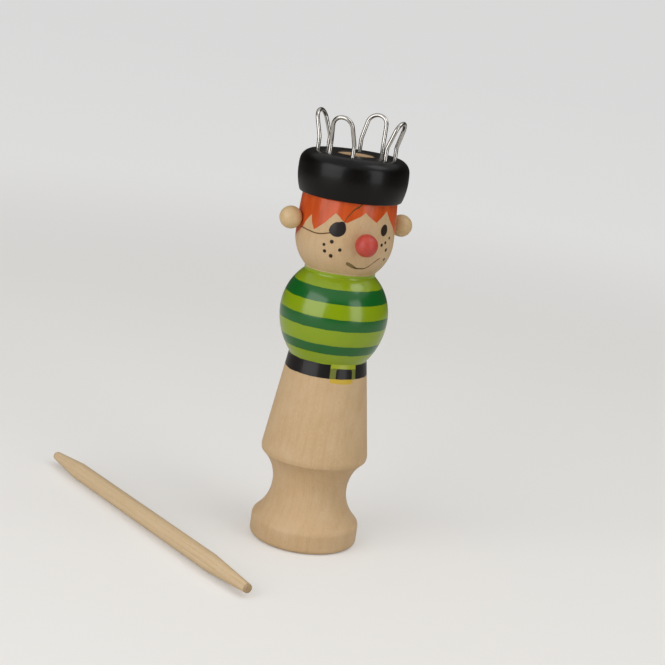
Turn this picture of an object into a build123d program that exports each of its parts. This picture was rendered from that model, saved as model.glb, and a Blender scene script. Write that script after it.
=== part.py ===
from build123d import *
import math
import os

# A knitting nancy: a turned and painted wooden doll with a bore from hat to foot,
# wire loops on the hat, ball ears, a ball nose and a loose wooden needle.
# Millimetres, +Z up, face towards -Y, origin on the bore axis at the underside.

# Radii of the turned body, from the foot up
foot_r = 19.0
cove_r = 13.2
arris_r = 18.5
skirt_r = 18.75
waist_r = 13.6
torso_r = 18.7
neck_r = 12.2
head_r = 16.8
brow_r = 16.15
hat_ledge = 1.25
hat_swell = 1.4
crown_draw_in = 0.7

# Heights of the turned body's sections, from the foot up
foot_band_h = 7.5
cove_low_h = 12.1
cove_up_h = 11.6
skirt_edge_h = 1.4
skirt_h = 34.7
torso_low_h = 15.0
torso_up_h = 14.25
neck_h = 1.6
chin_h = 10.75
brow_h = 14.1
hat_low_h = 7.6
hat_up_h = 6.8

# Rounded edges of the turned body, and its bore
foot_edge_round = 1.6
foot_corner_round = 2.5
arris_round = 0.8
skirt_corner_round = 4.0
neck_round = 0.8
hat_lip_round = 0.8
hat_shoulder_round = 5.0
bore_r = 6.0
bore_mouth_round = 1.2

# Ball ears and nose, each glued on a short peg
ear_d = 7.7
ear_above_cheek = 5.3
nose_d = 7.6
nose_above_cheek = 1.15
ball_flat = 0.25
ball_seat_depth = 0.1
ball_seat_gap = 0.12
peg_d = 2.4
peg_in_ball = 4.0
peg_in_head = 4.5
peg_end_round = 0.2
glue_gap = 0.03
hole_end_gap = 0.3

# Wire loops pressed into the hat, upright at first and then bent outwards
wire_d = 1.4
wire_gap = 0.02
loop_inset = 5.7
loop_foot_gap = 8.4
loop_arch_gap = 6.4
loop_height = 12.6
loop_bend_height = 4.0
loop_bend_round = 4.0
loop_lean = 18.0
loop_depth = 9.0
arch_share = 0.98

# Needle, lying on the table beside the doll's right side
needle_d = 6.3
needle_length = 130.0
needle_point_taper = 18.0
needle_heel_taper = 22.0
needle_tip_d = 3.1
needle_tip_round = 0.6
needle_x = -56.0
needle_y = 10.0
needle_turn = 17.5

# Radii and levels worked out from those above
hat_lip_r = brow_r + hat_ledge
hat_r = hat_lip_r + hat_swell
crown_r = hat_r - crown_draw_in
loop_ring_r = crown_r - loop_inset
cove_z = foot_band_h + cove_low_h
arris_z = cove_z + cove_up_h
skirt_z = arris_z + skirt_edge_h
waist_z = skirt_z + skirt_h
torso_z = waist_z + torso_low_h
collar_z = torso_z + torso_up_h
neck_z = collar_z + neck_h
cheek_z = neck_z + chin_h
lip_z = cheek_z + brow_h
hat_z = lip_z + hat_low_h
top_z = hat_z + hat_up_h
peg_r = peg_d / 2
wire_r = wire_d / 2

up = (0, 0, 1)
down = (0, 0, -1)
loop_angles = {
    "front_left_loop": -45,
    "back_left_loop": 45,
    "back_right_loop": 135,
    "front_right_loop": -135,
}


def on_profile(radius, height):
    """A point of the turned profile, in the plane through the axis."""
    return Vector(radius, 0, height)


def arc_radius(start_r, start_z, end_r, end_z, height):
    """Radius at a height of the arc that leaves its start upright, in or out to its end."""
    narrowing = start_r - end_r
    bend_r = (narrowing**2 + (end_z - start_z) ** 2) / (2 * narrowing)
    depth = math.sqrt(bend_r**2 - (height - start_z) ** 2)
    return start_r - bend_r + math.copysign(depth, bend_r)


def face_radius(height):
    """Radius of the head at a height, on its chin or on its brow."""
    if height < cheek_z:
        return arc_radius(head_r, cheek_z, neck_r, neck_z, height)
    return arc_radius(head_r, cheek_z, brow_r, lip_z, height)


def round_ring(part, radius, height, rounding):
    """Rounds the turned edge that lies at this radius and height."""
    rings = part.edges().filter_by(GeomType.CIRCLE)
    ring = min(rings, key=lambda e: abs(e.radius - radius) + abs(e.arc_center.Z - height))
    return fillet(ring, rounding)


def turned_blank():
    """The lathe-turned body, with its bore and before the small holes."""
    cove = on_profile(cove_r, cove_z)
    arris = on_profile(arris_r, arris_z)
    skirt = on_profile(skirt_r, skirt_z)
    torso = on_profile(torso_r, torso_z)
    waist = on_profile(waist_r, waist_z)
    collar = on_profile(neck_r, collar_z)
    neck = on_profile(neck_r, neck_z)
    cheek = on_profile(head_r, cheek_z)
    hat = on_profile(hat_r, hat_z)
    outline = [
        Line(on_profile(bore_r, 0), on_profile(foot_r, 0)),
        Line(on_profile(foot_r, 0), on_profile(foot_r, foot_band_h)),
        TangentArc(cove, on_profile(foot_r, foot_band_h), tangent=down),
        TangentArc(cove, arris, tangent=up),
        Line(arris, skirt),
        Line(skirt, waist),
        TangentArc(torso, waist, tangent=down),
        TangentArc(torso, collar, tangent=up),
        Line(collar, neck),
        TangentArc(cheek, neck, tangent=down),
        TangentArc(cheek, on_profile(brow_r, lip_z), tangent=up),
        Line(on_profile(brow_r, lip_z), on_profile(hat_lip_r, lip_z)),
        TangentArc(hat, on_profile(hat_lip_r, lip_z), tangent=down),
        TangentArc(hat, on_profile(crown_r, top_z), tangent=up),
        Line(on_profile(crown_r, top_z), on_profile(bore_r, top_z)),
        Line(on_profile(bore_r, top_z), on_profile(bore_r, 0)),
    ]
    blank = revolve(make_face(Wire(outline)), Axis.Z)
    blank = round_ring(blank, foot_r, 0, foot_edge_round)
    blank = round_ring(blank, foot_r, foot_band_h, foot_corner_round)
    blank = round_ring(blank, arris_r, arris_z, arris_round)
    blank = round_ring(blank, skirt_r, skirt_z, skirt_corner_round)
    blank = round_ring(blank, neck_r, collar_z, neck_round)
    blank = round_ring(blank, neck_r, neck_z, neck_round)
    blank = round_ring(blank, hat_lip_r, lip_z, hat_lip_round)
    blank = round_ring(blank, crown_r, top_z, hat_shoulder_round)
    return round_ring(blank, bore_r, top_z, bore_mouth_round)


def upright_cylinder(radius, low, high):
    """A cylinder on the local Z axis between two levels."""
    return Pos(0, 0, (low + high) / 2) * Cylinder(radius, high - low)


def ball_seat(direction, height):
    """Where a ball's flat rests on the head, with Z pointing away from the head."""
    outward = Vector(*direction)
    reach = face_radius(height) - ball_seat_depth
    return Plane(origin=outward * reach + Vector(0, 0, height), z_dir=outward)


def drilled_ball(diameter):
    """A ball with a small flat and a blind hole for its peg, standing on the flat."""
    radius = diameter / 2
    ball = Pos(0, 0, radius - ball_flat) * Sphere(radius)
    ball -= upright_cylinder(radius, -diameter, 0)
    return ball - upright_cylinder(peg_r + glue_gap, -ball_flat, peg_in_ball + hole_end_gap)


def peg():
    """The dowel that holds a ball, half in the ball and half in the head."""
    dowel = upright_cylinder(peg_r, -peg_in_head, peg_in_ball)
    return fillet(dowel.edges().filter_by(GeomType.CIRCLE), peg_end_round)


def seat_cut(diameter):
    """The spot face and the peg hole that the head needs for one ball."""
    radius = diameter / 2
    level = radius - ball_flat - ball_seat_depth
    spot_r = math.sqrt(radius**2 - level**2) + ball_seat_gap
    spot = upright_cylinder(spot_r, 0, diameter)
    return spot + upright_cylinder(peg_r + glue_gap, -peg_in_head - hole_end_gap, diameter)


def loop_frame(angle):
    """A loop's place on the hat: X along the rim, Y outwards, Z up."""
    return Rot(0, 0, angle - 90) * Pos(0, loop_ring_r, top_z)


def wire_loop():
    """One loop: two legs that stand in the hat, lean outwards and meet in an arch."""
    foot = loop_foot_gap / 2
    arch = loop_arch_gap / 2
    lean_rise = loop_height - loop_bend_height
    reach = lean_rise * math.tan(math.radians(loop_lean))
    leg = Vector(arch - foot, reach, lean_rise) * -1
    arch_turn = math.radians(180 - leg.get_angle(Vector(-1, 0, 0)))
    arch_round = arch_share * arch / math.tan(arch_turn / 2)
    points = [
        (-foot, 0, -loop_depth),
        (-foot, 0, loop_bend_height),
        (-arch, reach, loop_height),
        (arch, reach, loop_height),
        (foot, 0, loop_bend_height),
        (foot, 0, -loop_depth),
    ]
    rounds = [loop_bend_round, arch_round, arch_round, loop_bend_round]
    path = FilletPolyline(*points, radius=rounds)
    section = Pos(*points[0]) * Circle(wire_r)
    return sweep(section, path=path)


def loop_holes():
    """The two holes that one loop's legs are pressed into."""
    hole = upright_cylinder(wire_r + wire_gap, -loop_depth - hole_end_gap, loop_height)
    return [Pos(side * loop_foot_gap / 2, 0, 0) * hole for side in (-1, 1)]


def turned_body():
    """The turned blank with the seats of ears and nose and the holes of the loops."""
    body = turned_blank()
    for seat in (right_ear_seat, left_ear_seat):
        body -= seat * seat_cut(ear_d)
    body -= nose_seat * seat_cut(nose_d)
    for angle in loop_angles.values():
        for hole in loop_holes():
            body -= loop_frame(angle) * hole
    return body


def knitting_needle():
    """A round stick that tapers to a blunt tip at each end, lying on the table."""
    radius = needle_d / 2
    tip_r = needle_tip_d / 2
    outline = Polyline(
        (0, 0, 0),
        (tip_r, 0, 0),
        (radius, 0, needle_heel_taper),
        (radius, 0, needle_length - needle_point_taper),
        (tip_r, 0, needle_length),
        (0, 0, needle_length),
        close=True,
    )
    stick = revolve(make_face(outline), Axis.Z)
    stick = round_ring(stick, tip_r, 0, needle_tip_round)
    stick = round_ring(stick, tip_r, needle_length, needle_tip_round)
    place = Pos(needle_x, needle_y, radius) * Rot(0, 0, needle_turn) * Rot(-90, 0, 0)
    return place * Pos(0, 0, -needle_length / 2) * stick


right_ear_seat = ball_seat((-1, 0, 0), cheek_z + ear_above_cheek)
left_ear_seat = ball_seat((1, 0, 0), cheek_z + ear_above_cheek)
nose_seat = ball_seat((0, -1, 0), cheek_z + nose_above_cheek)

nodes = {
    "turned_body": turned_body(),
    "right_ear": right_ear_seat * drilled_ball(ear_d),
    "left_ear": left_ear_seat * drilled_ball(ear_d),
    "nose": nose_seat * drilled_ball(nose_d),
    "right_ear_peg": right_ear_seat * peg(),
    "left_ear_peg": left_ear_seat * peg(),
    "nose_peg": nose_seat * peg(),
    "knitting_needle": knitting_needle(),
}
for name, angle in loop_angles.items():
    nodes[name] = loop_frame(angle) * wire_loop()

os.makedirs("parts", exist_ok=True)
for name, node in nodes.items():
    export_step(node, f"parts/{name}.step")
    print(name, round(node.volume, 1))
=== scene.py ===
import bpy
import math
from mathutils import Matrix, Vector


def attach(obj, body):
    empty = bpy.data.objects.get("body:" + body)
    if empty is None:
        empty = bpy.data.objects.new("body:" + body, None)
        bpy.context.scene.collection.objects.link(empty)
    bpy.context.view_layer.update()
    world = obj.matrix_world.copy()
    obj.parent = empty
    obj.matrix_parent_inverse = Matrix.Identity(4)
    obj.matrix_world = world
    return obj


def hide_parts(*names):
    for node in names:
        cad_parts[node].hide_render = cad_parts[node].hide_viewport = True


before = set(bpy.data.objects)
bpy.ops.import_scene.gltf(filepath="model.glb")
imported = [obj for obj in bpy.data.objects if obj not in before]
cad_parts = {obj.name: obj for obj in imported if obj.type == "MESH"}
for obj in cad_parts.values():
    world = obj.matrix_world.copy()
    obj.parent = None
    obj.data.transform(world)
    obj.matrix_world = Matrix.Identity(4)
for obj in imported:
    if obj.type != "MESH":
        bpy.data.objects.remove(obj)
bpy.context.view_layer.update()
scene = bpy.context.scene
mm = 0.001
mergeWithin = 0.002

viewpoint = {
    "focalPixels": 1500, "framePixels": 665, "filmWidth": 36,
    "aimHeight": 0.0825, "distance": 0.517, "aimRight": 0.0005, "aimUp": 0.0072,
    "azimuth": -22, "elevation": 13.2, "roll": 8.1,
}


def placeCamera(settings):
    # the doll leans in the photograph, so the camera is rolled about its own axis
    azimuth = math.radians(settings["azimuth"])
    elevation = math.radians(settings["elevation"])
    roll = math.radians(settings["roll"])
    level = Vector((math.cos(azimuth), math.sin(azimuth), 0))
    ahead = Vector((-math.sin(azimuth) * math.cos(elevation), math.cos(azimuth) * math.cos(elevation),
                    -math.sin(elevation)))
    upward = level.cross(ahead)
    right = level * math.cos(roll) + upward * math.sin(roll)
    up = upward * math.cos(roll) - level * math.sin(roll)
    aim = Vector((0, 0, settings["aimHeight"]))
    place = aim - right * settings["aimRight"] - up * settings["aimUp"] - ahead * settings["distance"]
    data = bpy.data.cameras.new("camera")
    data.sensor_width = settings["filmWidth"]
    data.lens = settings["focalPixels"] / settings["framePixels"] * settings["filmWidth"]
    camera = bpy.data.objects.new("camera", data)
    scene.collection.objects.link(camera)
    turn = Matrix((right, up, -ahead)).transposed()
    camera.matrix_world = Matrix.Translation(place) @ turn.to_4x4()
    scene.camera = camera
    print("camera placed")


placeCamera(viewpoint)


def startEditing():
    bpy.ops.object.mode_set(mode="EDIT")
    bpy.ops.mesh.select_mode(type="VERT")


def endEditing():
    bpy.ops.mesh.select_all(action="SELECT")
    bpy.ops.mesh.remove_doubles(threshold=mergeWithin * mm)
    bpy.ops.mesh.normals_make_consistent(inside=False)
    bpy.ops.object.mode_set(mode="OBJECT")


def arcBetween(upright, other, steps):
    # points of the arc that is upright at its first end, from that end to the other
    narrowing = upright[0] - other[0]
    rise = other[1] - upright[1]
    bend = (narrowing ** 2 + rise ** 2) / (2 * narrowing)
    sweep = math.asin(rise / bend)
    turns = [sweep * step / steps for step in range(steps + 1)]
    return [Vector((upright[0] - bend * (1 - math.cos(turn)), upright[1] + bend * math.sin(turn)))
            for turn in turns]


def straight(start, end, steps):
    return [Vector(start).lerp(Vector(end), step / steps) for step in range(steps + 1)]


def cutBack(run, length):
    # shortens a run at its end by this much
    run = list(run)
    while (run[-1] - run[-2]).length <= length:
        length -= (run[-1] - run[-2]).length
        run.pop()
    run[-1] = run[-1] + (run[-2] - run[-1]).normalized() * length
    return run


def roundedCorner(before, after, rounding, steps):
    # trims both runs and joins them by a curve of about this radius
    leaving = (before[-1] - before[-2]).normalized()
    entering = (after[1] - after[0]).normalized()
    trim = rounding * math.tan(leaving.angle(entering) / 2)
    before = cutBack(before, trim)
    after = cutBack(after[::-1], trim)[::-1]
    leaving = (before[-1] - before[-2]).normalized()
    entering = (after[1] - after[0]).normalized()
    turn = leaving.angle(entering)
    chord = (after[0] - before[-1]).length
    handle = chord * 2 / 3 * math.tan(turn / 4) / math.sin(turn / 2)
    hold = [before[-1], before[-1] + leaving * handle, after[0] - entering * handle, after[0]]
    curve = []
    for step in range(1, steps):
        t = step / steps
        weights = [(1 - t) ** 3, 3 * t * (1 - t) ** 2, 3 * t ** 2 * (1 - t), t ** 3]
        curve.append(sum((point * weight for point, weight in zip(hold, weights)), hold[0] * 0))
    return before + curve, after


def joinedRuns(sections, cornerSteps):
    # one outline from runs of points, each with the rounding at its start
    outline = sections[0][0]
    for run, rounding in sections[1:]:
        if rounding:
            outline, run = roundedCorner(outline, run, rounding, cornerSteps)
        outline = outline + run
    return outline


def spun(name, outline, steps):
    # one point is extruded along the outline, in millimetres, and then spun about the upright axis
    points = [Vector((point[0], 0, point[1])) * mm for point in outline]
    bpy.ops.object.select_all(action="DESELECT")
    bpy.ops.mesh.primitive_plane_add(size=mm)
    piece = bpy.context.object
    piece.name = name
    startEditing()
    bpy.ops.mesh.merge(type="CENTER")
    bpy.ops.transform.translate(value=points[0])
    for here, there in zip(points, points[1:]):
        bpy.ops.mesh.extrude_region_move(TRANSFORM_OT_translate={"value": there - here})
    bpy.ops.mesh.select_all(action="SELECT")
    bpy.ops.mesh.spin(steps=steps, angle=2 * math.pi, center=(0, 0, 0), axis=(0, 0, 1))
    endEditing()
    return piece


body = {
    "footR": 19.0, "coveR": 13.2, "arrisR": 18.5, "skirtR": 18.75, "waistR": 13.6, "torsoR": 18.7,
    "neckR": 12.2, "headR": 16.8, "browR": 16.15, "lipR": 17.4, "hatR": 18.8, "crownR": 18.1, "boreR": 6.0,
    "bandZ": 7.5, "coveZ": 19.6, "arrisZ": 31.2, "skirtZ": 32.6, "waistZ": 67.3, "torsoZ": 82.3,
    "collarZ": 96.55, "neckZ": 98.15, "cheekZ": 108.9, "lipZ": 123.0, "hatZ": 130.6, "topZ": 137.4,
    "footEdge": 1.6, "bandEdge": 2.5, "arrisEdge": 0.5, "skirtEdge": 4.0, "waistEdge": 0.5, "neckEdge": 0.8,
    "browEdge": 0.3, "lipEdge": 0.8, "shoulder": 5.0, "mouthEdge": 1.2,
    "arcSteps": 22, "cornerSteps": 8, "turnSteps": 192, "flatSteps": 6, "bandSteps": 4, "shortSteps": 2,
    "boreSteps": 20, "smoothAngle": 40,
}


def bodyOutline(part):
    # the turned outline from the underside up, over the hat and back down through the bore
    steps = part["arcSteps"]
    foot = (part["footR"], part["bandZ"])
    cove = (part["coveR"], part["coveZ"])
    arris = (part["arrisR"], part["arrisZ"])
    skirt = (part["skirtR"], part["skirtZ"])
    waist = (part["waistR"], part["waistZ"])
    torso = (part["torsoR"], part["torsoZ"])
    collar = (part["neckR"], part["collarZ"])
    neck = (part["neckR"], part["neckZ"])
    cheek = (part["headR"], part["cheekZ"])
    brow = (part["browR"], part["lipZ"])
    lip = (part["lipR"], part["lipZ"])
    hat = (part["hatR"], part["hatZ"])
    crown = (part["crownR"], part["topZ"])
    mouth = (part["boreR"], part["topZ"])
    sections = [
        (straight((part["boreR"], 0), (part["footR"], 0), part["flatSteps"]), 0),
        (straight((part["footR"], 0), foot, part["bandSteps"]), part["footEdge"]),
        (arcBetween(cove, foot, steps)[::-1] + arcBetween(cove, arris, steps)[1:], part["bandEdge"]),
        (straight(arris, skirt, part["shortSteps"]), part["arrisEdge"]),
        (straight(skirt, waist, steps), part["skirtEdge"]),
        (arcBetween(torso, waist, steps)[::-1] + arcBetween(torso, collar, steps)[1:], part["waistEdge"]),
        (straight(collar, neck, part["shortSteps"]), part["neckEdge"]),
        (arcBetween(cheek, neck, steps)[::-1] + arcBetween(cheek, brow, steps)[1:], part["neckEdge"]),
        (straight(brow, lip, part["shortSteps"]), part["browEdge"]),
        (arcBetween(hat, lip, steps)[::-1] + arcBetween(hat, crown, steps)[1:], part["lipEdge"]),
        (straight(crown, mouth, part["flatSteps"]), part["shoulder"]),
        (straight(mouth, (part["boreR"], 0), part["boreSteps"]), part["mouthEdge"]),
    ]
    return joinedRuns(sections, part["cornerSteps"])


turnedBody = spun("turned_and_painted_body", bodyOutline(body), body["turnSteps"])
bpy.ops.object.shade_smooth_by_angle(angle=math.radians(body["smoothAngle"]))
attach(turnedBody, "doll")
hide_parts("turned_body")
print("body turned")

needle = {
    "width": 6.3, "length": 130.0, "tipWidth": 3.1, "pointTaper": 18.0, "heelTaper": 22.0,
    "tipEdge": 0.6, "taperEdge": 1.2, "aside": -56.0, "back": 10.0, "turn": 17.5,
    "shaftSteps": 40, "taperSteps": 12, "tipSteps": 3, "cornerSteps": 6, "turnSteps": 96,
    "smoothAngle": 40,
}


def needleOutline(part):
    radius = part["width"] / 2
    tip = part["tipWidth"] / 2
    length = part["length"]
    heel = (radius, part["heelTaper"])
    point = (radius, length - part["pointTaper"])
    sections = [
        (straight((0, 0), (tip, 0), part["tipSteps"]), 0),
        (straight((tip, 0), heel, part["taperSteps"]), part["tipEdge"]),
        (straight(heel, point, part["shaftSteps"]), part["taperEdge"]),
        (straight(point, (tip, length), part["taperSteps"]), part["taperEdge"]),
        (straight((tip, length), (0, length), part["tipSteps"]), part["tipEdge"]),
    ]
    return joinedRuns(sections, part["cornerSteps"])


woodNeedle = spun("wooden_needle", needleOutline(needle), needle["turnSteps"])
needleTurn = math.radians(needle["turn"])
woodNeedle.rotation_euler = (math.radians(-90), 0, needleTurn)
along = Vector((-math.sin(needleTurn), math.cos(needleTurn), 0))
middle = Vector((needle["aside"], needle["back"], needle["width"] / 2))
woodNeedle.location = (middle - along * needle["length"] / 2) * mm
bpy.ops.object.transform_apply(location=True, rotation=True, scale=True)
bpy.ops.object.shade_smooth_by_angle(angle=math.radians(needle["smoothAngle"]))
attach(woodNeedle, "needle")
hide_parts("knitting_needle")
print("needle turned")

ball = {
    "flat": 0.25, "sink": 0.1, "holeWidth": 2.46, "holeDepth": 4.3, "segments": 64, "rings": 40,
    "smoothAngle": 40,
}
balls = {
    "right_ear": {"width": 7.7, "height": 114.2, "outward": (-1, 0), "faceR": 16.7, "slot": "bare_wood"},
    "left_ear": {"width": 7.7, "height": 114.2, "outward": (1, 0), "faceR": 16.7, "slot": "bare_wood"},
    "nose": {"width": 7.6, "height": 110.05, "outward": (0, -1), "faceR": 16.8, "slot": "red_lacquer"},
}


def drilledBall(node, part, place):
    # a bead-like ball, cut flat where it meets the head and drilled there for its peg
    radius = place["width"] / 2
    flatZ = part["flat"] - radius
    bpy.ops.object.select_all(action="DESELECT")
    bpy.ops.mesh.primitive_uv_sphere_add(segments=part["segments"], ring_count=part["rings"],
                                         radius=radius * mm)
    piece = bpy.context.object
    piece.name = "turned_" + node
    startEditing()
    bpy.ops.mesh.select_all(action="SELECT")
    bpy.ops.mesh.bisect(plane_co=(0, 0, flatZ * mm), plane_no=(0, 0, 1), use_fill=True, clear_inner=True)
    flatR = math.sqrt(radius ** 2 - flatZ ** 2)
    bpy.ops.mesh.select_mode(type="FACE")
    bpy.ops.mesh.inset(thickness=(flatR - part["holeWidth"] / 2) * mm, depth=0)
    bpy.ops.mesh.extrude_region_move(TRANSFORM_OT_translate={"value": (0, 0, part["holeDepth"] * mm)})
    endEditing()
    outward = Vector((place["outward"][0], place["outward"][1], 0))
    piece.rotation_mode = "QUATERNION"
    piece.rotation_quaternion = outward.to_track_quat("Z", "Y")
    reach = place["faceR"] - part["sink"] - flatZ
    piece.location = (outward * reach + Vector((0, 0, place["height"]))) * mm
    bpy.ops.object.transform_apply(location=True, rotation=True, scale=True)
    bpy.ops.object.shade_smooth_by_angle(angle=math.radians(part["smoothAngle"]))
    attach(piece, "doll")
    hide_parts(node)
    print(piece.name, "made")
    return piece


ballPieces = {node: drilledBall(node, ball, place) for node, place in balls.items()}

loop = {
    "wireR": 0.7, "ringR": 12.4, "footGap": 8.4, "archGap": 6.4, "height": 12.6, "bendHeight": 4.0,
    "bendRound": 4.0, "lean": 18.0, "depth": 9.0, "archShare": 0.98, "cornerSteps": 12, "legSteps": 6,
    "wireSides": 5, "smoothAngle": 50,
}
loops = {"front_left_loop": -45, "back_left_loop": 45, "back_right_loop": 135, "front_right_loop": -135}


def loopPath(part):
    # the middle of the wire: up out of the hat, outwards, over the arch and back down
    foot = part["footGap"] / 2
    arch = part["archGap"] / 2
    leanRise = part["height"] - part["bendHeight"]
    reach = leanRise * math.tan(math.radians(part["lean"]))
    corners = [
        Vector((-foot, 0, -part["depth"])), Vector((-foot, 0, part["bendHeight"])),
        Vector((-arch, reach, part["height"])), Vector((arch, reach, part["height"])),
        Vector((foot, 0, part["bendHeight"])), Vector((foot, 0, -part["depth"])),
    ]
    archTurn = (corners[2] - corners[1]).angle(corners[3] - corners[2])
    archRound = part["archShare"] * arch / math.tan(archTurn / 2)
    rounds = [part["bendRound"], archRound, archRound, part["bendRound"]]
    path = straight(corners[0], corners[1], part["legSteps"])
    for place, rounding in enumerate(rounds, 1):
        run = straight(corners[place], corners[place + 1], part["legSteps"])
        path, run = roundedCorner(path, run, rounding, part["cornerSteps"])
        path = path + run
    return path


def wireLoop(node, part, angle):
    curve = bpy.data.curves.new(node, "CURVE")
    curve.dimensions = "3D"
    curve.bevel_depth = part["wireR"] * mm
    curve.bevel_resolution = part["wireSides"]
    curve.use_fill_caps = True
    path = loopPath(part)
    spline = curve.splines.new("POLY")
    spline.points.add(len(path) - 1)
    for point, spot in zip(spline.points, path):
        point.co = (spot * mm).to_4d()
    wire = bpy.data.objects.new("bent_" + node, curve)
    scene.collection.objects.link(wire)
    bpy.ops.object.select_all(action="DESELECT")
    bpy.context.view_layer.objects.active = wire
    wire.select_set(True)
    bpy.ops.object.convert(target="MESH")
    wire = bpy.context.object
    wire.rotation_euler = (0, 0, math.radians(angle - 90))
    outward = Vector((math.cos(math.radians(angle)), math.sin(math.radians(angle)), 0))
    wire.location = (outward * part["ringR"] + Vector((0, 0, body["topZ"]))) * mm
    bpy.ops.object.transform_apply(location=True, rotation=True, scale=True)
    startEditing()
    endEditing()
    bpy.ops.object.shade_smooth_by_angle(angle=math.radians(part["smoothAngle"]))
    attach(wire, "doll")
    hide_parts(node)
    print(wire.name, "bent")
    return wire


loopPieces = {node: wireLoop(node, loop, angle) for node, angle in loops.items()}


class Value:
    # an output of a material's nodes; sums written with it add Math nodes
    def __init__(self, socket):
        self.socket = socket

    def node(self, kind, settings, inputs, output=0):
        # a new node gets its settings first, and then the values or links of its sockets
        made = self.socket.id_data.nodes.new(kind)
        for name, setting in settings.items():
            if name == "curve":
                setCurve(made.mapping, setting)
            else:
                setattr(made, name, setting)
        for name, given in inputs.items():
            if isinstance(given, Value):
                made.id_data.links.new(given.socket, made.inputs[name])
            else:
                made.inputs[name].default_value = given
        return Value(made.outputs[output])

    def reckon(self, operation, *others):
        return self.node("ShaderNodeMath", {"operation": operation}, dict(enumerate((self,) + others)))

    def __add__(self, other):
        return self.reckon("ADD", other)

    def __radd__(self, other):
        return self.reckon("ADD", other)

    def __sub__(self, other):
        return self.reckon("SUBTRACT", other)

    def __rsub__(self, other):
        return (self * -1).reckon("ADD", other)

    def __mul__(self, other):
        return self.reckon("MULTIPLY", other)

    def __rmul__(self, other):
        return self.reckon("MULTIPLY", other)

    def __truediv__(self, other):
        return self.reckon("DIVIDE", other)

    def __pow__(self, other):
        return self.reckon("POWER", other)

    def __abs__(self):
        return self.reckon("ABSOLUTE")

    def vector(self, operation, other, output=0):
        return self.node("ShaderNodeVectorMath", {"operation": operation}, {0: self, 1: other}, output)

    def distance(self, other):
        return self.vector("DISTANCE", other, "Value")

    def stretched(self, along):
        # the place with its height scaled by this, so that a pattern on it runs along Z
        return self.vector("MULTIPLY", (1, 1, along))

    def noise(self, size, detail=2.0, roughness=0.5, distortion=0.0):
        # noise with features of about this size, in the units of the vector
        return self.node("ShaderNodeTexNoise", {}, {
            "Vector": self, "Scale": 1 / size, "Detail": detail, "Roughness": roughness,
            "Distortion": distortion,
        })


def setCurve(mapping, points):
    # points of a curve, smooth where the third value is True and pointed where it isn't
    curve = mapping.curves[0]
    while len(curve.points) < len(points):
        curve.points.new(1, 1)
    for spot, (x, y, smooth) in zip(curve.points, points):
        spot.location = (x, y)
        spot.handle_type = "AUTO_CLAMPED" if smooth else "VECTOR"
    mapping.update()


def smoothStep(value, edge, soft, before, after):
    return value.node("ShaderNodeMapRange", {"interpolation_type": "SMOOTHSTEP"},
                      {0: value, 1: edge - soft / 2, 2: edge + soft / 2, 3: before, 4: after})


def above(value, edge, soft):
    # 0 below the edge and 1 above it, with a soft step this wide
    return smoothStep(value, edge, soft, 0.0, 1.0)


def below(value, edge, soft):
    return smoothStep(value, edge, soft, 1.0, 0.0)


def between(value, low, high, soft):
    return above(value, low, soft) * below(value, high, soft)


def fromMask(mask, low, high):
    return mask * (high - low) + low


def mixed(mask, under, over):
    return mask.node("ShaderNodeMix", {"data_type": "RGBA"}, {0: mask, 6: under, 7: over}, 2)


def paint(code):
    # a colour written as in a paint program, made linear
    levels = [int(code[place:place + 2], 16) / 255 for place in (1, 3, 5)]
    linear = [level / 12.92 if level <= 0.04045 else ((level + 0.055) / 1.055) ** 2.4 for level in levels]
    return tuple(linear) + (1,)


def newMaterial(name):
    # a material with its shader, and the place on the object in millimetres
    material = bpy.data.materials.new(name)
    material.use_nodes = True
    tree = material.node_tree
    shader = tree.nodes["Principled BSDF"]
    place = Value(tree.nodes.new("ShaderNodeTexCoord").outputs["Object"])
    place = place.node("ShaderNodeVectorMath", {"operation": "SCALE"}, {0: place, "Scale": 1 / mm})
    return material, shader, place


def finishMaterial(shader, colour, dullness, height, gloss=None):
    # height is in millimetres
    links = shader.id_data.links
    if gloss:
        links.new(gloss.socket, shader.inputs["Coat Weight"])
    links.new(colour.socket, shader.inputs["Base Color"])
    links.new(dullness.socket, shader.inputs["Roughness"])
    bump = height.node("ShaderNodeBump", {}, {"Strength": 1.0, "Distance": mm, "Height": height})
    links.new(bump.socket, shader.inputs["Normal"])


def splitPlace(place):
    return [place.node("ShaderNodeSeparateXYZ", {}, {0: place}, axis) for axis in range(3)]


def joinPlace(x, y, z):
    return x.node("ShaderNodeCombineXYZ", {}, {0: x, 1: y, 2: z})


noiseMiddle = 0.5
bodyWood = {
    "pale": "#d2b48c", "warm": "#c5a479", "deep": "#b8956c", "cloud": "#d8bd99", "pore": "#9c7549",
    "pithX": 55, "pithY": -38, "ringWidth": 3.1, "drift": 3.0, "driftSize": 24, "alongRings": 0.35,
    "ringFrom": 0.75, "ringRise": 0.5, "ringTo": 0.98, "ringFall": 0.04, "ringShow": 0.16,
    "streakSize": 0.9, "alongStreaks": 0.035, "streakSoft": 0.6, "streakShow": 0.42, "streakDepth": 0.008,
    "speckleSize": 0.4, "alongSpeckles": 0.45, "speckleSoft": 0.5, "speckleShow": 0.25,
    "poreSize": 0.22, "alongPores": 0.11, "poreRoughness": 0.4, "poreLevel": 0.66, "poreSoft": 0.12,
    "poreShow": 0.17, "poreDepth": 0.01,
    "cloudSize": 9, "cloudLevel": 0.55, "cloudSoft": 0.4, "cloudShow": 0.4,
    "roughness": 0.47, "smoother": 0.05, "rougher": 0.06, "dullSize": 0.6, "dullSoft": 0.5,
}
earWood = dict(bodyWood, pithX=18, pithY=9, ringWidth=2.2, drift=2.0, driftSize=8, pale="#d9bb8b",
               warm="#cfae7b", deep="#bd9762", cloudSize=4, roughness=0.4, rougher=0.07)
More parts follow.
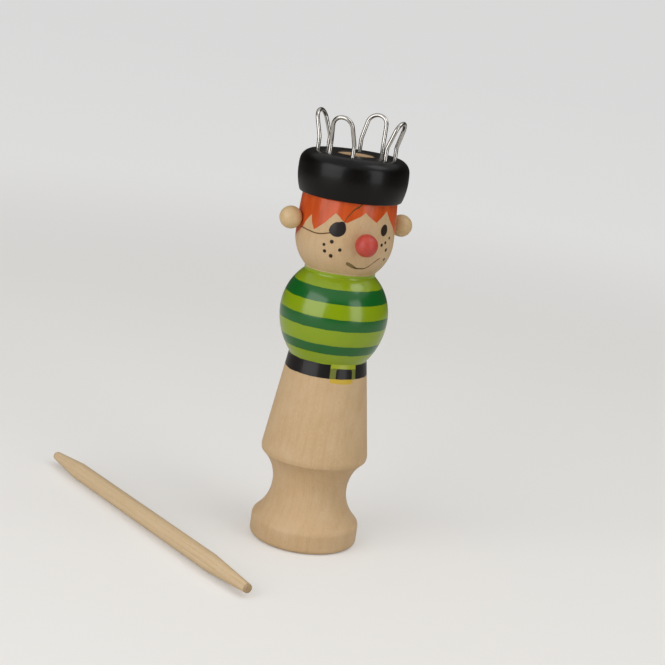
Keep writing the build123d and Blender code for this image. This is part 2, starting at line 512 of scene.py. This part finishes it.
needleWood = dict(bodyWood, pithX=30, pithY=22, ringWidth=1.6, drift=1.0, alongRings=0.1, alongStreaks=0.02,
                  streakSize=0.5, streakShow=0.9, alongPores=0.06, poreSize=0.16, pale="#dcc39e",
                  warm="#cfb389", deep="#bf9f74", ringShow=0.3, streakDepth=0.02, roughness=0.5, rougher=0.07)


def woodGrain(place, wood):
    # colour and height of planed wood whose grain runs along Z, from its rings, streaks and pores
    drift = place.stretched(wood["alongRings"]).noise(wood["driftSize"], detail=1.0)
    x, y = splitPlace(place)[:2]
    fromPith = ((x + wood["pithX"]) ** 2 + (y + wood["pithY"]) ** 2).reckon("SQRT")
    year = ((fromPith + drift * wood["drift"]) / wood["ringWidth"]).reckon("FRACT")
    late = above(year, wood["ringFrom"], wood["ringRise"]) * below(year, wood["ringTo"], wood["ringFall"])
    streak = place.stretched(wood["alongStreaks"]).noise(wood["streakSize"], detail=3.0)
    pores = place.stretched(wood["alongPores"]).noise(wood["poreSize"], 1.0, wood["poreRoughness"])
    pore = above(pores, wood["poreLevel"], wood["poreSoft"])
    cloud = above(place.noise(wood["cloudSize"]), wood["cloudLevel"], wood["cloudSoft"])
    speckles = place.stretched(wood["alongSpeckles"]).noise(wood["speckleSize"])
    speckle = above(speckles, noiseMiddle, wood["speckleSoft"])
    streaked = above(streak, noiseMiddle, wood["streakSoft"])
    colour = mixed(streaked * wood["streakShow"], paint(wood["pale"]), paint(wood["warm"]))
    colour = mixed(speckle * wood["speckleShow"], colour, paint(wood["deep"]))
    colour = mixed(late * wood["ringShow"], colour, paint(wood["deep"]))
    colour = mixed(cloud * wood["cloudShow"], colour, paint(wood["cloud"]))
    colour = mixed(pore * wood["poreShow"], colour, paint(wood["pore"]))
    height = streak * wood["streakDepth"] - pore * wood["poreDepth"]
    return colour, height


def bareDullness(place, wood):
    # bare wood is duller in small patches
    patches = above(place.noise(wood["dullSize"], detail=3.0), noiseMiddle, wood["dullSoft"])
    return fromMask(patches, wood["roughness"] - wood["smoother"], wood["roughness"] + wood["rougher"])


def curveOver(value, points, bottom, top):
    # the height that a hand-drawn line has at this angle, with all its heights from bottom to top
    low = points[0][0]
    high = points[-1][0]
    share = (value - low) / (high - low)
    curve = [((turn - low) / (high - low), (height - bottom) / (top - bottom), smooth)
             for turn, height, smooth in points]
    drawn = share.node("ShaderNodeFloatCurve", {"curve": curve}, {"Factor": 1.0, "Value": share})
    return drawn * (top - bottom) + bottom


# hand-drawn lines on the body: angle from the middle of the face, height, and whether it is smooth there
fringeFront = [
    (-100, 108.0, True), (-84, 111.0, True), (-75, 114.3, True), (-67.2, 116.9, False), (-65.2, 114.6, True),
    (-60.5, 112.1, False), (-49, 114.7, True), (-42, 116.9, True), (-35.8, 118.9, False), (-31, 118.0, True),
    (-26, 116.7, True), (-21.5, 116.2, False), (-12, 117.9, True), (-6.4, 118.9, True), (-1.2, 120.3, False),
    (5, 118.9, True), (14.4, 117.2, False), (21, 118.9, True), (29.2, 121.0, False), (37, 118.0, True),
    (48, 115.0, True), (58, 112.3, False), (64, 115.0, True), (68, 117.2, False), (76, 114.0, True),
    (86, 110.8, True), (100, 108.0, True),
]
fringeBack = [
    (-100, 111.4, True), (-90, 109.9, True), (-80, 107.9, True), (-73, 106.2, False), (-66, 108.8, True),
    (-61, 110.8, False), (-49, 106.0, False), (-43, 108.9, True), (-38, 110.5, False), (-25, 106.3, False),
    (-17, 109.0, True), (-12, 110.9, False), (1, 105.8, False), (14, 110.6, False), (20, 108.3, True),
    (27, 106.2, False), (40, 110.4, False), (53, 105.9, False), (60, 108.6, True), (66, 110.7, False),
    (78, 106.3, False), (84, 108.4, True), (90, 110.0, True), (100, 112.0, True),
]
mouthLine = [
    (-16, 102.75, True), (-13, 102.5, True), (-8.7, 102.0, True), (-4.7, 101.5, True), (0.4, 101.1, True),
    (8, 101.1, True), (16, 102.1, True), (21.6, 103.6, True), (27.5, 104.8, True), (30, 105.1, True),
]
hatString = [
    (-26, 115.2, True), (-24.2, 116.4, True), (-22.5, 117.6, True), (-18.8, 119.3, True),
    (-13.7, 121.2, True), (-9.3, 122.0, True), (-5.7, 123.2, True), (-3, 124.0, True),
]
earString = [
    (-86, 111.5, True), (-80, 111.6, True), (-68, 111.3, True), (-58, 111.1, True), (-49, 111.4, True),
    (-40, 112.1, True), (-36, 112.4, True),
]
# half the mouth's thickness by angle, and the patch's edge by direction and distance from its middle
mouthBrush = [
    (-16, 0, True), (-14.9, 0.44, True), (-13, 0.62, True), (-8.5, 0.62, True), (-4.5, 0.42, True),
    (0, 0.27, True), (6, 0.21, True), (27, 0.2, True), (30, 0.14, True),
]
patchEdge = [
    (-180, 2.66, True), (-156, 2.95, True), (-121.7, 2.78, True), (-77.2, 2.62, True), (-42.8, 2.7, True),
    (-11.2, 2.82, True), (23, 2.93, True), (50, 3.15, True), (87.8, 2.32, True), (135.4, 2.25, True),
    (172, 2.57, True), (180, 2.66, True),
]
face = {
    "patch": (-31.2, 113.85), "eye": (28.0, 114.65), "eyeWidth": 1.62, "eyeRise": 2.0, "eyeTilt": -8,
    "mmPerDegree": 0.29, "patchHeights": (0, 4), "mouthHeights": (98, 108), "mouthThick": (0, 1),
    "mouthSlope": 0.95, "hatStringHeights": (110, 126), "hatStringSlope": 0.62,
    "earStringHeights": (110, 114), "earStringSlope": 1.0, "stringThick": 0.22,
}
freckles = [        # angle, height and radius
    (-44.4, 108.0, 0.54), (-35.6, 109.4, 0.66), (-43.0, 105.8, 0.62), (-35.1, 104.5, 0.7),
    (-25.2, 107.0, 0.6), (26.8, 109.7, 0.6), (33.1, 110.4, 0.56), (36.8, 107.8, 0.62),
    (39.8, 104.4, 0.58), (40.6, 111.8, 0.54),
]
fringe = {
    "heights": (100, 124), "lowest": 103, "lowestSoft": 0.5, "underHat": 0.5, "underHatSoft": 0.2,
    "light": "#da5c28", "streakSize": 2.5, "alongStreaks": 0.2, "streakSoft": 0.6,
}
stripes = [(88.8, 93.3), (80.0, 83.9), (71.1, 74.5)]
shirtTop = 97.9
belt = {
    "low": 62.3, "high": 67.1, "mmPerDegree": 0.243, "middle": (4.65, 64.7), "width": 4.85, "rise": 2.6,
    "power": 12, "opening": (5.65, 63.7), "openWidth": 3.07, "openRise": 2.1, "openPower": 6,
    "tab": (2.6, 62.3), "tabWidth": 4.2, "tabRise": 1.6, "tabPower": 4, "overlap": 0.4,
}
coats = {        # colour, roughness, gloss, and thickness in millimetres
    "shirt": ("#89a208", 0.3, 0.75, 0.05),
    "stripe": ("#10601f", 0.3, 0.75, 0.035),
    "belt": ("#1b1617", 0.42, 0.25, 0.05),
    "buckleBelt": ("#747a38", 0.4, 0.25, 0.03),
    "buckleShirt": ("#a5b02c", 0.35, 0.4, 0.03),
    "buckleWood": ("#cfae3e", 0.45, 0.1, 0.03),
    "hair": ("#bd4609", 0.4, 0.4, 0.05),
    "string": ("#684722", 0.45, 0.0, 0.01),
    "mouth": ("#573f20", 0.45, 0.0, 0.01),
    "patch": ("#26201f", 0.4, 0.3, 0.05),
    "eye": ("#2f2318", 0.42, 0.2, 0.03),
    "freckle": ("#33241a", 0.45, 0.1, 0.02),
    "hat": ("#080605", 0.36, 0.16, 0.06),
}
fades = {        # how soft the edge of a coat is
    "shirt": 0.12, "stripe": 0.14, "belt": 0.12, "buckle": 0.15, "buckleCorner": 0.05, "hair": 0.12,
    "line": 0.1, "lineEnd": 0.6, "patch": 0.04, "eye": 0.06, "freckle": 0.14, "hat": 0.06, "front": 0.01,
}
brush = {        # how a hand-held brush strays, in millimetres
    "waverSize": 5.0, "waver": 0.5, "shakeSize": 0.7, "shake": 0.12, "hair": 0.6, "line": 0.6,
    "patch": 0.06, "eye": 0.1, "beltTurn": 2, "freckleTurn": 0.5, "lineStart": 0.4, "lineStop": 0.6,
    "thickFrom": 0.46, "thickSoft": 0.24, "thickColour": "#7c6942",
}
film = {        # the skin of the paint, and the collars that it forms around the feet of the wires
    "peelSize": 1.6, "peelAlong": 2.5, "peelDepth": 0.012, "grainHidden": 0.75, "coatRoughness": 0.16,
    "specular": 0.18, "collarWidth": 0.45, "collarSoft": 0.8, "collarDepth": 0.15,
    "insideBore": 0.25, "boreSoft": 0.3, "hatLap": 0.05,
}


def blob(across, rising, width, rise, tilt=0, power=2):
    # 0 at the middle of a rounded patch of paint and 1 at its edge
    cos = math.cos(math.radians(tilt))
    sin = math.sin(math.radians(tilt))
    u = abs(across * cos + rising * sin) / width
    v = abs(rising * cos - across * sin) / rise
    return (u ** power + v ** power) ** (1 / power)


def brushed(across, rising, edge, heights):
    # the same for a patch whose edge is drawn around its middle, by direction and distance
    direction = rising.reckon("ARCTAN2", across) * (180 / math.pi)
    reach = (across * across + rising * rising).reckon("SQRT")
    return reach / curveOver(direction, edge, *heights)


def coat(name, mask, colour=None):
    # a coat of paint: where it lies, its colour, roughness, gloss and thickness
    code, dullness, shine, thick = coats[name]
    return mask, colour or paint(code), dullness, shine, thick


def bodyPlaces(place):
    # where on the body a point is: its angle from the middle of the face, its height, and the brush's stray
    x, y, z = splitPlace(place)
    waver = ((place.noise(brush["waverSize"]) - noiseMiddle) * brush["waver"]
             + (place.noise(brush["shakeSize"], detail=1.0) - noiseMiddle) * brush["shake"])
    return {
        "place": place, "x": x, "y": y, "z": z, "waver": waver, "level": z + waver,
        "radius": (x * x + y * y).reckon("SQRT"), "front": below(y, 0, fades["front"]),
        "turn": x.reckon("ARCTAN2", y * -1) * (180 / math.pi),
        "turnBack": x.reckon("ARCTAN2", y) * (180 / math.pi),
    }


def shirtAndBelt(at):
    # the shirt with its stripes, and the belt with its buckle, which is painted over belt, shirt and wood
    level = at["level"]
    layers = [coat("shirt", between(level, belt["high"] - belt["overlap"], shirtTop, fades["shirt"]))]
    layers += [coat("stripe", between(level, low, high, fades["stripe"])) for low, high in stripes]
    layers.append(coat("belt", between(level, belt["low"], belt["high"], fades["belt"])))
    beltTurn = at["turn"] + at["waver"] * brush["beltTurn"]

    def onBelt(spot, width, rise, power):
        across = (beltTurn - spot[0]) * belt["mmPerDegree"]
        inside = blob(across, level - spot[1], width, rise, 0, power)
        return below(inside, 1, fades["buckleCorner"]) * at["front"]

    buckle = onBelt(belt["middle"], belt["width"], belt["rise"], belt["power"])
    opening = onBelt(belt["opening"], belt["openWidth"], belt["openRise"], belt["openPower"])
    tab = onBelt(belt["tab"], belt["tabWidth"], belt["tabRise"], belt["tabPower"])
    openTop = belt["opening"][1] + belt["openRise"]
    bars = buckle * between(level, belt["low"], openTop, fades["buckle"]) * (1 - opening)
    layers.append(coat("buckleBelt", bars))
    layers.append(coat("buckleShirt", buckle * above(level, openTop, fades["buckle"])))
    layers.append(coat("buckleWood", tab * below(level, belt["low"], fades["buckle"])))
    return layers


def hairCoat(at):
    z = at["z"]
    frontEdge = curveOver(at["turn"], fringeFront, *fringe["heights"])
    backEdge = curveOver(at["turnBack"], fringeBack, *fringe["heights"])
    edge = backEdge + (frontEdge - backEdge) * at["front"]
    hair = above(z + at["waver"] * brush["hair"] - edge, 0, fades["hair"])
    hair = hair * below(z, body["lipZ"] + fringe["underHat"], fringe["underHatSoft"])
    streaks = at["place"].stretched(fringe["alongStreaks"]).noise(fringe["streakSize"])
    lighter = above(streaks, noiseMiddle, fringe["streakSoft"])
    colour = mixed(lighter, paint(coats["hair"][0]), paint(fringe["light"]))
    return coat("hair", hair * above(z, fringe["lowest"], fringe["lowestSoft"]), colour)


def drawnFace(at):
    # strings, mouth, patch, eye and freckles, in the order in which they are painted
    turn = at["turn"]
    z = at["z"]
    scale = face["mmPerDegree"]

    def drawn(points, heights, thick, slope):
        line = curveOver(turn, points, *heights)
        across = abs(at["level"] - at["waver"] * brush["line"] - line) * slope
        start = points[0][0] + brush["lineStart"]
        stop = points[-1][0] - brush["lineStop"]
        length = between(turn, start, stop, fades["lineEnd"])
        return below(across - thick, 0, fades["line"]) * length * at["front"]

    toHat = drawn(hatString, face["hatStringHeights"], face["stringThick"], face["hatStringSlope"])
    toEar = drawn(earString, face["earStringHeights"], face["stringThick"], face["earStringSlope"])
    strings = toHat.reckon("MAXIMUM", toEar) * below(z, body["lipZ"], fades["line"])
    mouthThick = curveOver(turn, mouthBrush, *face["mouthThick"])
    mouth = drawn(mouthLine, face["mouthHeights"], mouthThick, face["mouthSlope"])
    pressed = above(mouthThick, brush["thickFrom"], brush["thickSoft"])
    mouthColour = mixed(pressed, paint(coats["mouth"][0]), paint(brush["thickColour"]))

    across, rising = [turn - face["patch"][0], z - face["patch"][1]]
    patch = brushed(across * scale, rising, patchEdge, face["patchHeights"]) + at["waver"] * brush["patch"]
    across, rising = [turn - face["eye"][0], z - face["eye"][1]]
    eye = blob(across * scale, rising, face["eyeWidth"], face["eyeRise"], face["eyeTilt"])
    eye = eye + at["waver"] * brush["eye"]
    flatPlace = joinPlace((turn + at["waver"] * brush["freckleTurn"]) * scale, at["level"], z * 0)
    spots = z * 0
    for spotTurn, spotZ, spotR in freckles:
        gap = flatPlace.distance((spotTurn * scale, spotZ, 0))
        spots = spots.reckon("MAXIMUM", below(gap, spotR, fades["freckle"]) * at["front"])
    return [
        coat("string", strings), coat("mouth", mouth, mouthColour),
        coat("patch", below(patch, 1, fades["patch"]) * at["front"]),
        coat("eye", below(eye, 1, fades["eye"]) * at["front"]), coat("freckle", spots),
    ]


def wireCollars(at):
    # the four loops mirror each other, so one foot of the eight stands for all
    wide = abs(at["x"]).reckon("MAXIMUM", abs(at["y"]))
    narrow = abs(at["x"]).reckon("MINIMUM", abs(at["y"]))
    footR = math.hypot(loop["ringR"], loop["footGap"] / 2)
    footTurn = math.radians(45) - math.atan(loop["footGap"] / 2 / loop["ringR"])
    footPlace = (footR * math.cos(footTurn), footR * math.sin(footTurn), body["topZ"])
    toWire = joinPlace(wide, narrow, at["z"]).distance(footPlace)
    return below(toWire, loop["wireR"] + film["collarWidth"], film["collarSoft"])


def bodyFinish():
    material, shader, place = newMaterial("painted_wood")
    at = bodyPlaces(place)
    colour, height = woodGrain(place, bodyWood)
    dullness = bareDullness(place, bodyWood)
    outside = above(at["radius"], body["boreR"] + film["insideBore"], film["boreSoft"])
    hat = above(at["level"], body["lipZ"] - film["hatLap"], fades["hat"])
    painted = at["z"] * 0
    gloss = at["z"] * 0
    for mask, coatColour, coatDullness, shine, thick in [
        *shirtAndBelt(at), hairCoat(at), *drawnFace(at), coat("hat", hat),
    ]:
        mask = mask * outside
        colour = mixed(mask, colour, coatColour)
        dullness = dullness + (coatDullness - dullness) * mask
        gloss = gloss + (shine - gloss) * mask
        height = height * (1 - mask * film["grainHidden"]) + mask * thick
        painted = painted.reckon("MAXIMUM", mask)
    peel = place.stretched(film["peelAlong"]).noise(film["peelSize"], detail=1.0)
    height = height + peel * painted * film["peelDepth"] + wireCollars(at) * film["collarDepth"]
    shader.inputs["Specular IOR Level"].default_value = film["specular"]
    shader.inputs["Coat Roughness"].default_value = film["coatRoughness"]
    finishMaterial(shader, colour, dullness, height, gloss)
    return material


needleEnds = {
    "fibre": 0.28, "ragged": 1.6, "soft": 0.7, "reach": 65.2, "colour": "#a3835a", "fuzz": 0.35,
    "middle": middle.dot(along), "weakest": 0.2,
}


def plainWood(name, wood, turned, ends=None):
    material, shader, place = newMaterial(name)
    # turned is the turn that the upright piece was given, and its grain turns with it
    rotation = [math.radians(angle) for angle in turned]
    place = place.node("ShaderNodeMapping", {"vector_type": "TEXTURE"},
                       {"Vector": place, "Rotation": rotation})
    colour, height = woodGrain(place, wood)
    dullness = bareDullness(place, wood)
    if ends:
        # the sawn fibres show darker and rougher where the stick is cut off
        fibres = place.noise(ends["fibre"], detail=3.0)
        fromMiddle = abs(splitPlace(place)[2] - ends["middle"]) + fibres * ends["ragged"]
        cut = above(fromMiddle, ends["reach"], ends["soft"])
        colour = mixed(cut * fromMask(fibres, ends["weakest"], 1.0), colour, paint(ends["colour"]))
        height = height + cut * fibres * ends["fuzz"]
    finishMaterial(shader, colour, dullness, height)
    return material


noseLacquer = {
    "red": "#b83d31", "lightRed": "#c54a3d", "patchSize": 1.6, "patchSoft": 0.6, "pebbleSize": 0.45,
    "depth": 0.02, "glossiest": 0.4, "dullest": 0.5,
}


def lacquer(name, coating):
    material, shader, place = newMaterial(name)
    patchy = place.noise(coating["patchSize"])
    lighter = above(patchy, noiseMiddle, coating["patchSoft"])
    colour = mixed(lighter, paint(coating["red"]), paint(coating["lightRed"]))
    dullness = fromMask(patchy, coating["glossiest"], coating["dullest"])
    height = place.noise(coating["pebbleSize"]) * coating["depth"] + patchy * coating["depth"]
    finishMaterial(shader, colour, dullness, height)
    return material


wireSteel = {
    "grey": "#bbb7b1", "lightGrey": "#cbc8c3", "cloudSize": 2.5, "cloudSoft": 0.5, "scratchSize": 0.4,
    "alongScratches": 0.2, "scratchSoft": 0.4, "scratchDepth": 0.0006, "brightest": 0.18, "dullest": 0.24,
}


def steel(name, metal):
    material, shader, place = newMaterial(name)
    scratches = place.stretched(metal["alongScratches"]).noise(metal["scratchSize"])
    cloud = above(place.noise(metal["cloudSize"]), noiseMiddle, metal["cloudSoft"])
    colour = mixed(cloud, paint(metal["grey"]), paint(metal["lightGrey"]))
    worn = above(scratches, noiseMiddle, metal["scratchSoft"])
    shader.inputs["Metallic"].default_value = 1.0
    finishMaterial(shader, colour, fromMask(worn, metal["brightest"], metal["dullest"]),
                   scratches * metal["scratchDepth"])
    return material


def dress(piece, material):
    piece.data.materials.clear()
    piece.data.materials.append(material)


dress(turnedBody, bodyFinish())
for node in ("right_ear", "left_ear"):
    dress(ballPieces[node], plainWood(node + "_wood", earWood, (90, 25, 10)))
dress(ballPieces["nose"], lacquer("red_lacquer", noseLacquer))
dress(woodNeedle, plainWood("needle_wood", needleWood, (-90, 0, needle["turn"]), needleEnds))
loopSteel = steel("loop_steel", wireSteel)
for loopPiece in loopPieces.values():
    dress(loopPiece, loopSteel)
pegWood = plainWood("peg_wood", needleWood, (0, 0, 0))
for node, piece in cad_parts.items():
    if node.endswith("_peg"):
        piece.material_slots[0].material = pegWood
print("materials made")

studio = {
    "horizon": 0.25, "zenith": 0.7, "skyMiddle": 0.5, "skySoft": 0.9, "aim": 0.085,
    "floor": "#d8d5d0", "farFloor": "#6b6966", "paperRoughness": 0.9, "paperSpecular": 0.1,
    "floorR": 3.0, "floorSides": 96, "underFloor": 0.05, "sweepR": 1.6, "sweepSteps": 12, "wallTop": 3.2,
    "smoothAngle": 30, "nearLift": 0.22, "farLift": 0.64, "liftAway": 0.6, "liftSoft": 0.6,
}
softboxes = {
    "wide_softbox": {"turn": -67, "rise": 16, "width": 0.8, "height": 0.75, "away": 0.9, "glow": 2.7},
    "narrow_softbox": {"turn": 27, "rise": 14, "width": 0.4, "height": 0.7, "away": 0.9, "glow": 2.6},
    "high_softbox": {"turn": 58, "rise": 60, "width": 0.5, "height": 0.5, "away": 1.1, "glow": 2.3},
}


def softbox(name, lamp):
    # a rectangular lamp that faces the doll, as strong as its area times its glow
    turn = math.radians(lamp["turn"])
    rise = math.radians(lamp["rise"])
    direction = Vector((math.sin(turn) * math.cos(rise), -math.cos(turn) * math.cos(rise), math.sin(rise)))
    light = bpy.data.lights.new(name, "AREA")
    light.shape = "RECTANGLE"
    light.size = lamp["width"]
    light.size_y = lamp["height"]
    light.energy = lamp["glow"] * lamp["width"] * lamp["height"] * math.pi
    holder = bpy.data.objects.new(name, light)
    scene.collection.objects.link(holder)
    holder.location = Vector((0, 0, studio["aim"])) + direction * lamp["away"]
    holder.rotation_euler = direction.to_track_quat("Z", "Y").to_euler()


def sweepPaper():
    # paper that is darker far away, where the lamps stand over it, and lifted for the camera alone
    material = bpy.data.materials.new("studio_paper")
    material.use_nodes = True
    tree = material.node_tree
    shader = tree.nodes["Principled BSDF"]
    shader.inputs["Roughness"].default_value = studio["paperRoughness"]
    shader.inputs["Specular IOR Level"].default_value = studio["paperSpecular"]
    shader.inputs["Emission Strength"].default_value = 1.0
    seen = Value(tree.nodes.new("ShaderNodeLightPath").outputs["Is Camera Ray"])
    place = Value(tree.nodes.new("ShaderNodeTexCoord").outputs["Object"])
    far = above(place.distance((0, 0, 0)), studio["liftAway"], studio["liftSoft"])
    paper = mixed(far, paint(studio["floor"]), paint(studio["farFloor"]))
    lift = fromMask(far, studio["nearLift"], studio["farLift"])
    tree.links.new(paper.socket, shader.inputs["Base Color"])
    tree.links.new((lift * seen).socket, shader.inputs["Emission Color"])
    return material


def studioSweep():
    # a round floor whose rim curves up into a wall all around
    bpy.ops.object.select_all(action="DESELECT")
    bpy.ops.mesh.primitive_circle_add(vertices=studio["floorSides"], radius=studio["floorR"],
                                      fill_type="NGON", location=(0, 0, -studio["underFloor"] * mm))
    sweep = bpy.context.object
    sweep.name = "studio_sweep"
    startEditing()
    bpy.ops.mesh.select_mode(type="EDGE")
    bpy.ops.mesh.select_all(action="SELECT")
    radius = studio["floorR"]
    height = 0.0
    for step in range(1, studio["sweepSteps"] + 1):
        turn = math.pi / 2 * step / studio["sweepSteps"]
        newRadius = studio["floorR"] + studio["sweepR"] * math.sin(turn)
        newHeight = studio["sweepR"] * (1 - math.cos(turn))
        bpy.ops.mesh.extrude_edges_move(TRANSFORM_OT_translate={"value": (0, 0, newHeight - height)})
        bpy.ops.transform.resize(value=(newRadius / radius, newRadius / radius, 1), center_override=(0, 0, 0))
        radius = newRadius
        height = newHeight
    bpy.ops.mesh.extrude_edges_move(TRANSFORM_OT_translate={"value": (0, 0, studio["wallTop"] - height)})
    bpy.ops.object.mode_set(mode="OBJECT")
    bpy.ops.object.shade_smooth_by_angle(angle=math.radians(studio["smoothAngle"]))
    sweep.data.materials.append(sweepPaper())


def studioLight():
    # the sky over the sweep is brighter overhead, as a lit studio ceiling is
    world = bpy.data.worlds.new("studio")
    scene.world = world
    world.use_nodes = True
    tree = world.node_tree
    sky = Value(tree.nodes.new("ShaderNodeTexCoord").outputs["Generated"])
    high = above(splitPlace(sky)[2], studio["skyMiddle"], studio["skySoft"])
    glow = fromMask(high, studio["horizon"], studio["zenith"])
    tree.nodes["Background"].inputs[0].default_value = (1, 1, 1, 1)
    tree.links.new(glow.socket, tree.nodes["Background"].inputs[1])
    scene.view_settings.view_transform = "Standard"
    for name, lamp in softboxes.items():
        softbox(name, lamp)
    print("sweep and lights set")


studioSweep()
studioLight()
